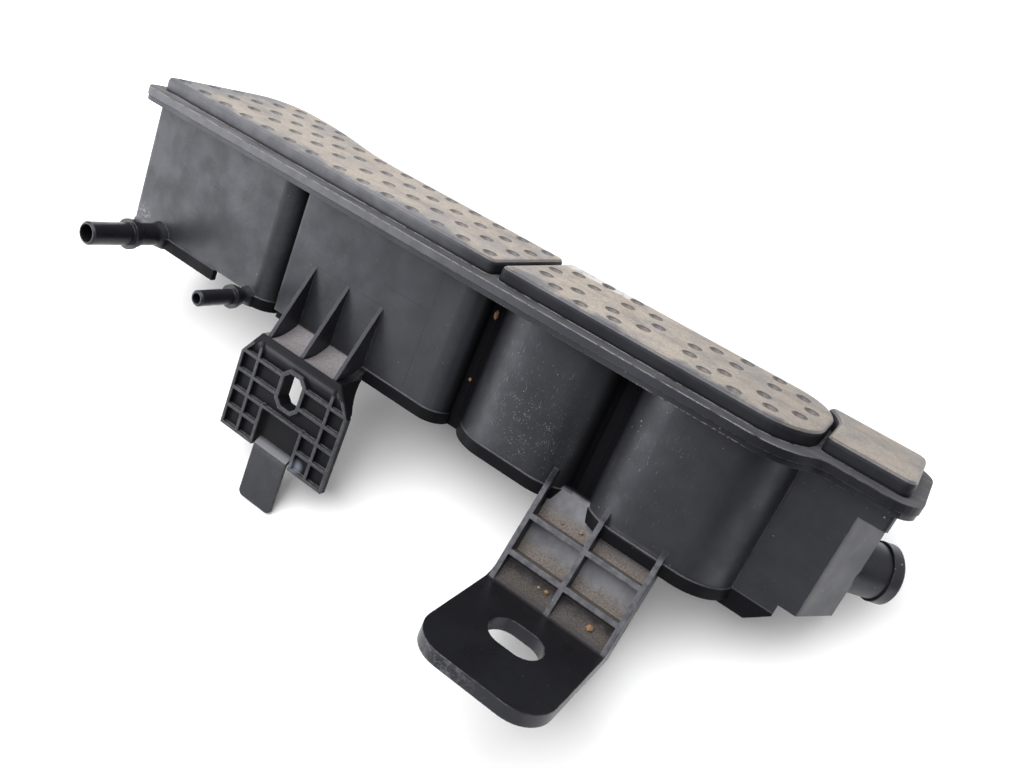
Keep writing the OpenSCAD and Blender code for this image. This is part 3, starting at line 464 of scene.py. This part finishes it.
def body_plastic():
    """The body's black plastic, with film and marks on the walls and dirt in the brackets, painted shade in its
    hollows and painted light on some faces and edges.
    """
    g = Graph("body_plastic")
    rounded = g.soft_edge(0.7)
    color = g.mix(g.ramp(g.noise(45, 5.0, 0.6), 0.35, 0.7), PLASTIC, PLASTIC_PALE)
    color = wall_film_and_sheen(g, color)
    color = wall_marks(g, color)
    color = mould_lines(g, color)
    worn = g.both(g.edge(rounded), g.ramp(g.noise(3), 0.38, 0.6))
    color = g.mix(g.both(worn, 0.4), color, HAZE_AND_SHEEN)
    groove, rim = hollows(g)
    # Painted shade: the grooves between the chambers and the downward-facing rim under the walls are darkened
    # to near black.
    color = g.mix(g.either(groove, g.both(rim, 0.92)), color, DEEP)
    # Painted highlight: a pale line along the rim's top edge, on the mould's flash ridge.
    rim_highlight = g.both(g.within("Z", WALL_FOOT - 0.4, WALL_FOOT, 0.25), g.past("Y", 40, 43))
    color = g.mix(g.both(rim_highlight, g.flip(groove), 0.25), color, HAZE_AND_SHEEN)
    color, cells = hanger_marks_and_light(g, color)
    color, film = arm_dust_and_shade(g, color)
    color, shelf = shelf_dust(g, color)
    tubes = g.both(g.past("X", -190, -200), g.past("Y", 42, 36))
    foot = g.both(g.within("X", *FOOT_X, 0.5), g.past("Z", FOOT_TOP, FOOT_TOP - 0.8))
    glossy = g.either(tubes, foot)
    color = g.mix(g.both(glossy, g.flip(worn), 0.7), color, DEEP)
    blotches = g.noise(12, 5.0, 0.6)
    rough = g.ramp(blotches, 0.3, 0.7, 0.36, 0.47)
    rough = g.math("SUBTRACT", rough, g.both(glossy, 0.10))
    rough = g.math("ADD", rough, g.both(g.either(film, shelf), 0.4))
    dull = g.either(groove, g.both(rim, 0.9), g.both(cells, 0.8))
    flange_end = g.both(g.past("Z", FLANGE_UNDER - 0.2, FLANGE_UNDER + 0.2), g.past("X", -20, 50))
    shine = g.both(
        g.ramp(blotches, 0.3, 0.7, 0.40, 0.32),
        g.flip(g.both(dull, 0.96)),
        g.flip(g.both(flange_end, 0.7)),
    )
    for centre, half in ROUND_CHAMBERS:
        rounded = g.round_off(rounded, centre, half, 0.55)
    grain = g.bump(g.noise(0.35, 2.0), 0.08, 0.1, rounded)
    return g.finish(color, rough, grain, specular=shine)


def flap(g):
    """1 on a sheet without thickness that the solid's top spans over the hollow side of the third field."""
    centre = tuple(Vector(FLAP_CENTRE) * MM)
    level = g.vector("MULTIPLY", g.vector("SUBTRACT", g.place, centre), (1.0, 1.0, 0.0))
    far = g.vector("LENGTH", level)
    outside = g.math("GREATER_THAN", far, FLAP_INNER_R * MM)
    inside = g.math("LESS_THAN", far, FLAP_OUTER_R * MM)
    side = g.both(g.beyond("X", FLAP_CENTRE[0]), g.beyond("Y", FLAP_CENTRE[1]))
    return g.both(outside, inside, side, g.beyond("Z", LID_TOP - FLAP_DEPTH))


def field_dust_and_glare(g, color, up):
    """Beige dust on the raised fields, thin at the front and the left end, and less of it in the dimples, with
    a painted glare highlight near the second field's back edge.
    """
    bowl = g.both(g.past("Z", LID_TOP - 0.2, LID_TOP - 0.6), g.ramp(up, 0.35, 0.6))
    flat = g.both(g.ramp(up, 0.6, 0.97), g.ramp(bowl, 1.0, 0.0))
    top = g.both(g.past("Z", 122, 126), g.either(flat, g.both(bowl, 0.38)))
    smears = g.ramp(g.noise(16, 6.0, 0.66, (2.2, 1.0, 1.0)), 0.22, 0.56, 0.5, 1.0)
    specks = g.ramp(g.noise(0.9, 4.0, 0.75), 0.3, 0.62, 0.58, 1.0)
    mottles = g.ramp(g.noise(4.5, 4.0, 0.65), 0.3, 0.55, 0.8, 1.0)
    streaks = g.flip(g.both(g.scratches((1.4, 0.2, 0.3), 0.5, 12, 0.29), 0.4))
    bare = g.noise(20, 4.0, 0.6)
    border = g.math("ADD", g.past("Y", 44, 62), g.ramp(bare, 0.3, 0.7, -0.2, 0.5))
    corner = g.math("ADD", g.past("X", -305, -262), g.ramp(bare, 0.3, 0.7, -0.3, 0.3))
    settled = g.both(g.ramp(border, 0.0, 0.6, 0.55, 1.0), g.ramp(corner, 0.0, 0.9, 0.5, 1.0))
    cool = g.ramp(g.noise(24, 4.0, 0.6), 0.46, 0.66, 0.0, 0.6)
    shade = g.mix(g.either(cool, g.ramp(settled, 1.0, 0.6)), DUST, DUST_COOL)
    fade = g.past("X", -40, 60, 1.0, 0.76)
    dust = g.both(top, smears, specks, mottles, streaks, settled, fade)
    color = g.mix(dust, color, shade)
    # Painted highlight: a pale glare patch near the back edge of the second field.
    glare_patch = g.both(flat, g.within("X", -82, -46, 4), g.within("Y", 95, 104, 2))
    color = g.mix(g.both(glare_patch, g.ramp(g.noise(5), 0.3, 0.5), 0.8), color, GLARE)
    return color, dust, top


def ledge_dirt(g, color, up):
    """Grey dirt and scratches on the ledge round the fields."""
    ledge = g.both(g.ramp(up, 0.8, 0.97), g.within("Z", LEDGE - 1.8, LEDGE + 0.7, 0.3))
    thick = g.past("X", -120, -290, 0.2, 0.52)
    grimy = g.ramp(g.noise(5, 5.0, 0.65, (4.0, 1.0, 1.0)), 0.3, 0.62, 0.4, 1.0)
    color = g.mix(g.both(ledge, thick, grimy), color, DUST_COOL)
    rubbed = g.both(ledge, g.scratches((1.5, 0.1, 0.2), 0.35, 14, 0.3))
    return g.mix(g.both(rubbed, 0.4), color, SCUFF_AND_HIGHLIGHT), ledge


def lid_edges(g, color, up, rounded):
    """Worn edges, a painted highlight along the flange's rim and painted shade at the foot of the fields."""
    edge = g.edge(rounded)
    worn = g.both(edge, g.ramp(g.noise(3), 0.38, 0.6))
    color = g.mix(g.both(worn, 0.45), color, HAZE_AND_SHEEN)
    # Painted highlight: a broken bright line along the flange rim's edge, fading out near the right end.
    flange_highlight = g.both(edge, g.within("Z", LEDGE - 0.8, LEDGE + 0.7, 0.3), g.past("X", 70, 50))
    color = g.mix(g.both(flange_highlight, g.ramp(g.noise(6), 0.35, 0.55), 0.8), color, SCUFF_AND_HIGHLIGHT)
    # Painted shade: a dark line at the foot of the raised fields.
    foot = g.both(g.ramp(up, 0.9, 0.7), g.within("Z", LEDGE + 0.1, LEDGE + 1.1, 0.3))
    return g.mix(g.both(foot, 0.8), color, DEEP)


def lid_plastic():
    """The lid's black plastic under dust, with sides that darken to the right, painted light on the upper part
    of the fields' sides and on the flange's side towards the left, and painted shade and highlights along its
    edges.
    """
    g = Graph("lid_plastic")
    rounded = g.soft_edge(0.8)
    up = g.vector("DOT_PRODUCT", g.normal, UP)
    color = g.mix(g.ramp(g.noise(30), 0.35, 0.7), PLASTIC, PLASTIC_PALE)
    left = g.past("X", -50, -190)
    patchy = g.ramp(g.noise(7), 0.3, 0.7, 0.6, 1.0)
    # Painted light: a pale band on the upper part of the fields' sides, stronger towards the left.
    lit_shoulder = g.both(g.past("Z", LEDGE, LEDGE + 2.4), patchy, g.ramp(left, 0.0, 1.0, 0.08, 1.0))
    color = g.mix(g.both(lit_shoulder, 0.5), color, HAZE_AND_SHEEN)
    color, dust, top = field_dust_and_glare(g, color, up)
    color, ledge = ledge_dirt(g, color, up)
    color = lid_edges(g, color, up, rounded)
    steep = g.ramp(up, 0.5, 0.3)
    sides = g.both(steep, g.past("Z", LEDGE - 0.3, LEDGE + 0.2))
    flange = g.both(steep, g.past("Z", LEDGE + 0.1, LEDGE - 0.3))
    # Painted light: the flange's side is painted paler towards the left.
    color = g.mix(g.both(flange, g.past("X", -30, -150), patchy, 0.45), color, HAZE_AND_SHEEN)
    dull = g.either(
        g.both(sides, g.ramp(left, 0.75, 0.1)),
        g.both(flange, g.past("X", -20, 50)),
        g.both(top, 0.75),
    )
    shine = g.ramp(dull, 0.0, 1.0, 0.45, 0.12)
    rough = g.ramp(g.either(dust, ledge), 0.0, 1.0, 0.42, 0.8)
    grain = g.bump(g.noise(0.5, 3.0), 0.12, 0.1, rounded)
    return g.finish(color, rough, grain, specular=shine, left_out=flap(g))


def plain(name, pale, dark, size, roughness, metallic=0.0):
    """A two-tone surface with a fine grain, for the crumbs and the pieces inside."""
    g = Graph(name)
    speckle = g.noise(size, 6.0, 0.65)
    color = g.mix(g.ramp(speckle, 0.3, 0.7), dark, pale)
    rough = g.ramp(speckle, 0.3, 0.7, roughness, roughness + 0.1)
    grain = g.bump(speckle, 0.4, size, g.normal)
    return g.finish(color, rough, grain, metallic=metallic)


def dress_nodes():
    """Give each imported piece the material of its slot."""
    looks = {
        "body_plastic": body_plastic(),
        "lid_plastic": lid_plastic(),
        "fleece": plain("fleece", (0.8, 0.79, 0.74), (0.6, 0.59, 0.55), 0.6, 0.85),
        "carbon": plain("carbon", (0.035, 0.035, 0.036), (0.008, 0.008, 0.009), 2.2, 0.6),
        "natural_plastic": plain("natural_plastic", (0.72, 0.7, 0.64), (0.62, 0.6, 0.55), 8, 0.4),
        "spring_steel": plain("spring_steel", (0.62, 0.62, 0.64), (0.42, 0.42, 0.44), 0.5, 0.28, 1.0),
    }
    for row in frame["record"]["subparts"]:
        piece = frame["nodes"][row["node"]]
        piece.data.materials.clear()
        piece.data.materials.append(looks[row["material_slot"]])


def crumbs():
    """Bits of dirt that lie in the groove beside the third chamber and in the cells of the arm."""
    made = bmesh.new()
    for place, width, squash in CRUMBS:
        place = Vector(place) * MM
        size = width * MM
        lump = bmesh.ops.create_icosphere(made, subdivisions=3, radius=0.5 * size)["verts"]
        for point in lump:
            ridge = noise.noise(point.co / size * 4.0 + place * 100.0)
            point.co *= 1.0 + 0.45 * ridge
            point.co.z *= squash
            point.co += place
    mesh = bpy.data.meshes.new("crumbs")
    made.to_mesh(mesh)
    made.free()
    for face in mesh.polygons:
        face.use_smooth = True
    bits = bpy.data.objects.new("crumbs", mesh)
    bpy.context.scene.collection.objects.link(bits)
    mesh.materials.append(plain("crumbs", CRUMB_PALE, CRUMB, 1.2, 0.8))
    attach(bits, "root")


def ray_shares(nodes):
    """Light path sockets of the rays that see the white background."""
    path = nodes.new("ShaderNodeLightPath")
    return [path.outputs[name] for name in ("Is Camera Ray", "Is Glossy Ray", "Is Transmission Ray")]


def table_material():
    """A white board that keeps the shadow, glows to white with distance and is clear from below."""
    g = Graph("table_white")
    seen = g.either(*ray_shares(g.nodes))
    far = g.ramp(g.vector("LENGTH", g.place), GLOW_NEAR, GLOW_FAR)
    glow = g.both(seen, g.ramp(far, 0.0, 1.0, GLOW_LEAST, 1.0))
    board = g.add("ShaderNodeBsdfDiffuse", {"Color": TABLE_WHITE})
    light = g.add("ShaderNodeEmission", {"Strength": glow})
    lit = g.add("ShaderNodeAddShader", {0: board.outputs[0], 1: light.outputs[0]})
    clear = g.add("ShaderNodeBsdfTransparent")
    under = g.add("ShaderNodeNewGeometry").outputs["Backfacing"]
    both = g.add("ShaderNodeMixShader", {0: under, 1: lit.outputs[0], 2: clear.outputs[0]})
    g.add("ShaderNodeOutputMaterial", {"Surface": both.outputs[0]})
    return g.material


def table():
    bpy.ops.mesh.primitive_circle_add(vertices=96, radius=TABLE_R, fill_type="NGON")
    board = bpy.context.object
    board.name = "table"
    board.rotation_mode = "QUATERNION"
    board.rotation_quaternion = TABLE_UP.to_track_quat("Z", "Y")
    middle = (TONGUE_TIP + BULGE_FOOT + TOE) / 3
    board.location = middle - TABLE_UP * TABLE_GAP
    board.data.materials.append(table_material())


def camera():
    data = bpy.data.cameras.new("camera")
    data.sensor_width = SENSOR_W
    data.lens = FOCAL_PX / PICTURE_W * SENSOR_W
    data.clip_start = 0.01
    eye = bpy.data.objects.new("camera", data)
    back = CAMERA_RIGHT.cross(CAMERA_UP)
    turn = Matrix((CAMERA_RIGHT, CAMERA_UP, back)).transposed()
    eye.matrix_world = Matrix.Translation(CAMERA_PLACE) @ turn.to_4x4()
    bpy.context.scene.collection.objects.link(eye)
    bpy.context.scene.camera = eye


def soft_lamp(name, direction, distance, size, power):
    """A square area lamp that faces the canister's middle."""
    data = bpy.data.lights.new(name, "AREA")
    data.size = size
    data.energy = power
    lamp = bpy.data.objects.new(name, data)
    middle = (cad_box[0] + cad_box[1]) / 2
    lamp.location = middle + direction.normalized() * distance
    lamp.rotation_mode = "QUATERNION"
    lamp.rotation_quaternion = direction.to_track_quat("Z", "Y")
    bpy.context.scene.collection.objects.link(lamp)


def lights():
    left = -(CAMERA_RIGHT - TABLE_UP * CAMERA_RIGHT.dot(TABLE_UP)).normalized()
    away = left.cross(TABLE_UP)
    above = TABLE_UP + left * 0.05 + away * 0.15
    beside = left + TABLE_UP * 0.35 + away * 0.1
    soft_lamp("overhead", above, distance=1.3, size=1.5, power=31.0)
    soft_lamp("left_window", beside, distance=1.2, size=0.8, power=8.0)


def dark_card():
    """The unlit side of the studio in front of the canister, which only reflections see."""
    front = CAMERA_RIGHT.cross(CAMERA_UP)
    front = (front - TABLE_UP * front.dot(TABLE_UP)).normalized()
    right = TABLE_UP.cross(front)
    middle = (cad_box[0] + cad_box[1]) / 2 + front * 1.1 + right * 0.45 + TABLE_UP * 0.35
    bpy.ops.mesh.primitive_plane_add(size=1.0)
    card = bpy.context.object
    card.name = "dark_card"
    turn = Matrix((right, TABLE_UP, front)).transposed().to_4x4()
    size = Matrix.Diagonal((*CARD_SIZE, 1.0, 1.0))
    card.matrix_world = Matrix.Translation(middle) @ turn @ size
    g = Graph("dark_card")
    cloth = g.mix(g.noise(50), (0.01, 0.01, 0.01), (0.02, 0.02, 0.02))
    card.data.materials.append(g.finish(cloth, 0.9, g.normal))
    for share in ("camera", "diffuse", "transmission", "shadow"):
        setattr(card, "visible_" + share, False)


def world():
    """An even sky that lights at AMBIENT and is white where it is seen."""
    made = bpy.data.worlds.new("studio")
    made.use_nodes = True
    nodes, links = made.node_tree.nodes, made.node_tree.links
    nodes.clear()
    shares = ray_shares(nodes)
    seen = shares[0]
    for share in shares[1:]:
        either = nodes.new("ShaderNodeMath")
        either.operation = "MAXIMUM"
        links.new(seen, either.inputs[0])
        links.new(share, either.inputs[1])
        seen = either.outputs[0]
    strength = nodes.new("ShaderNodeMapRange")
    links.new(seen, strength.inputs["Value"])
    strength.inputs["To Min"].default_value = AMBIENT
    sky = nodes.new("ShaderNodeBackground")
    links.new(strength.outputs["Result"], sky.inputs["Strength"])
    sky.inputs["Color"].default_value = (1.0, 1.0, 1.0, 1.0)
    out = nodes.new("ShaderNodeOutputWorld")
    links.new(sky.outputs[0], out.inputs["Surface"])
    bpy.context.scene.world = made


dress_nodes()
crumbs()
table()
camera()
lights()
dark_card()
world()
bpy.context.scene.view_settings.view_transform = "Standard"
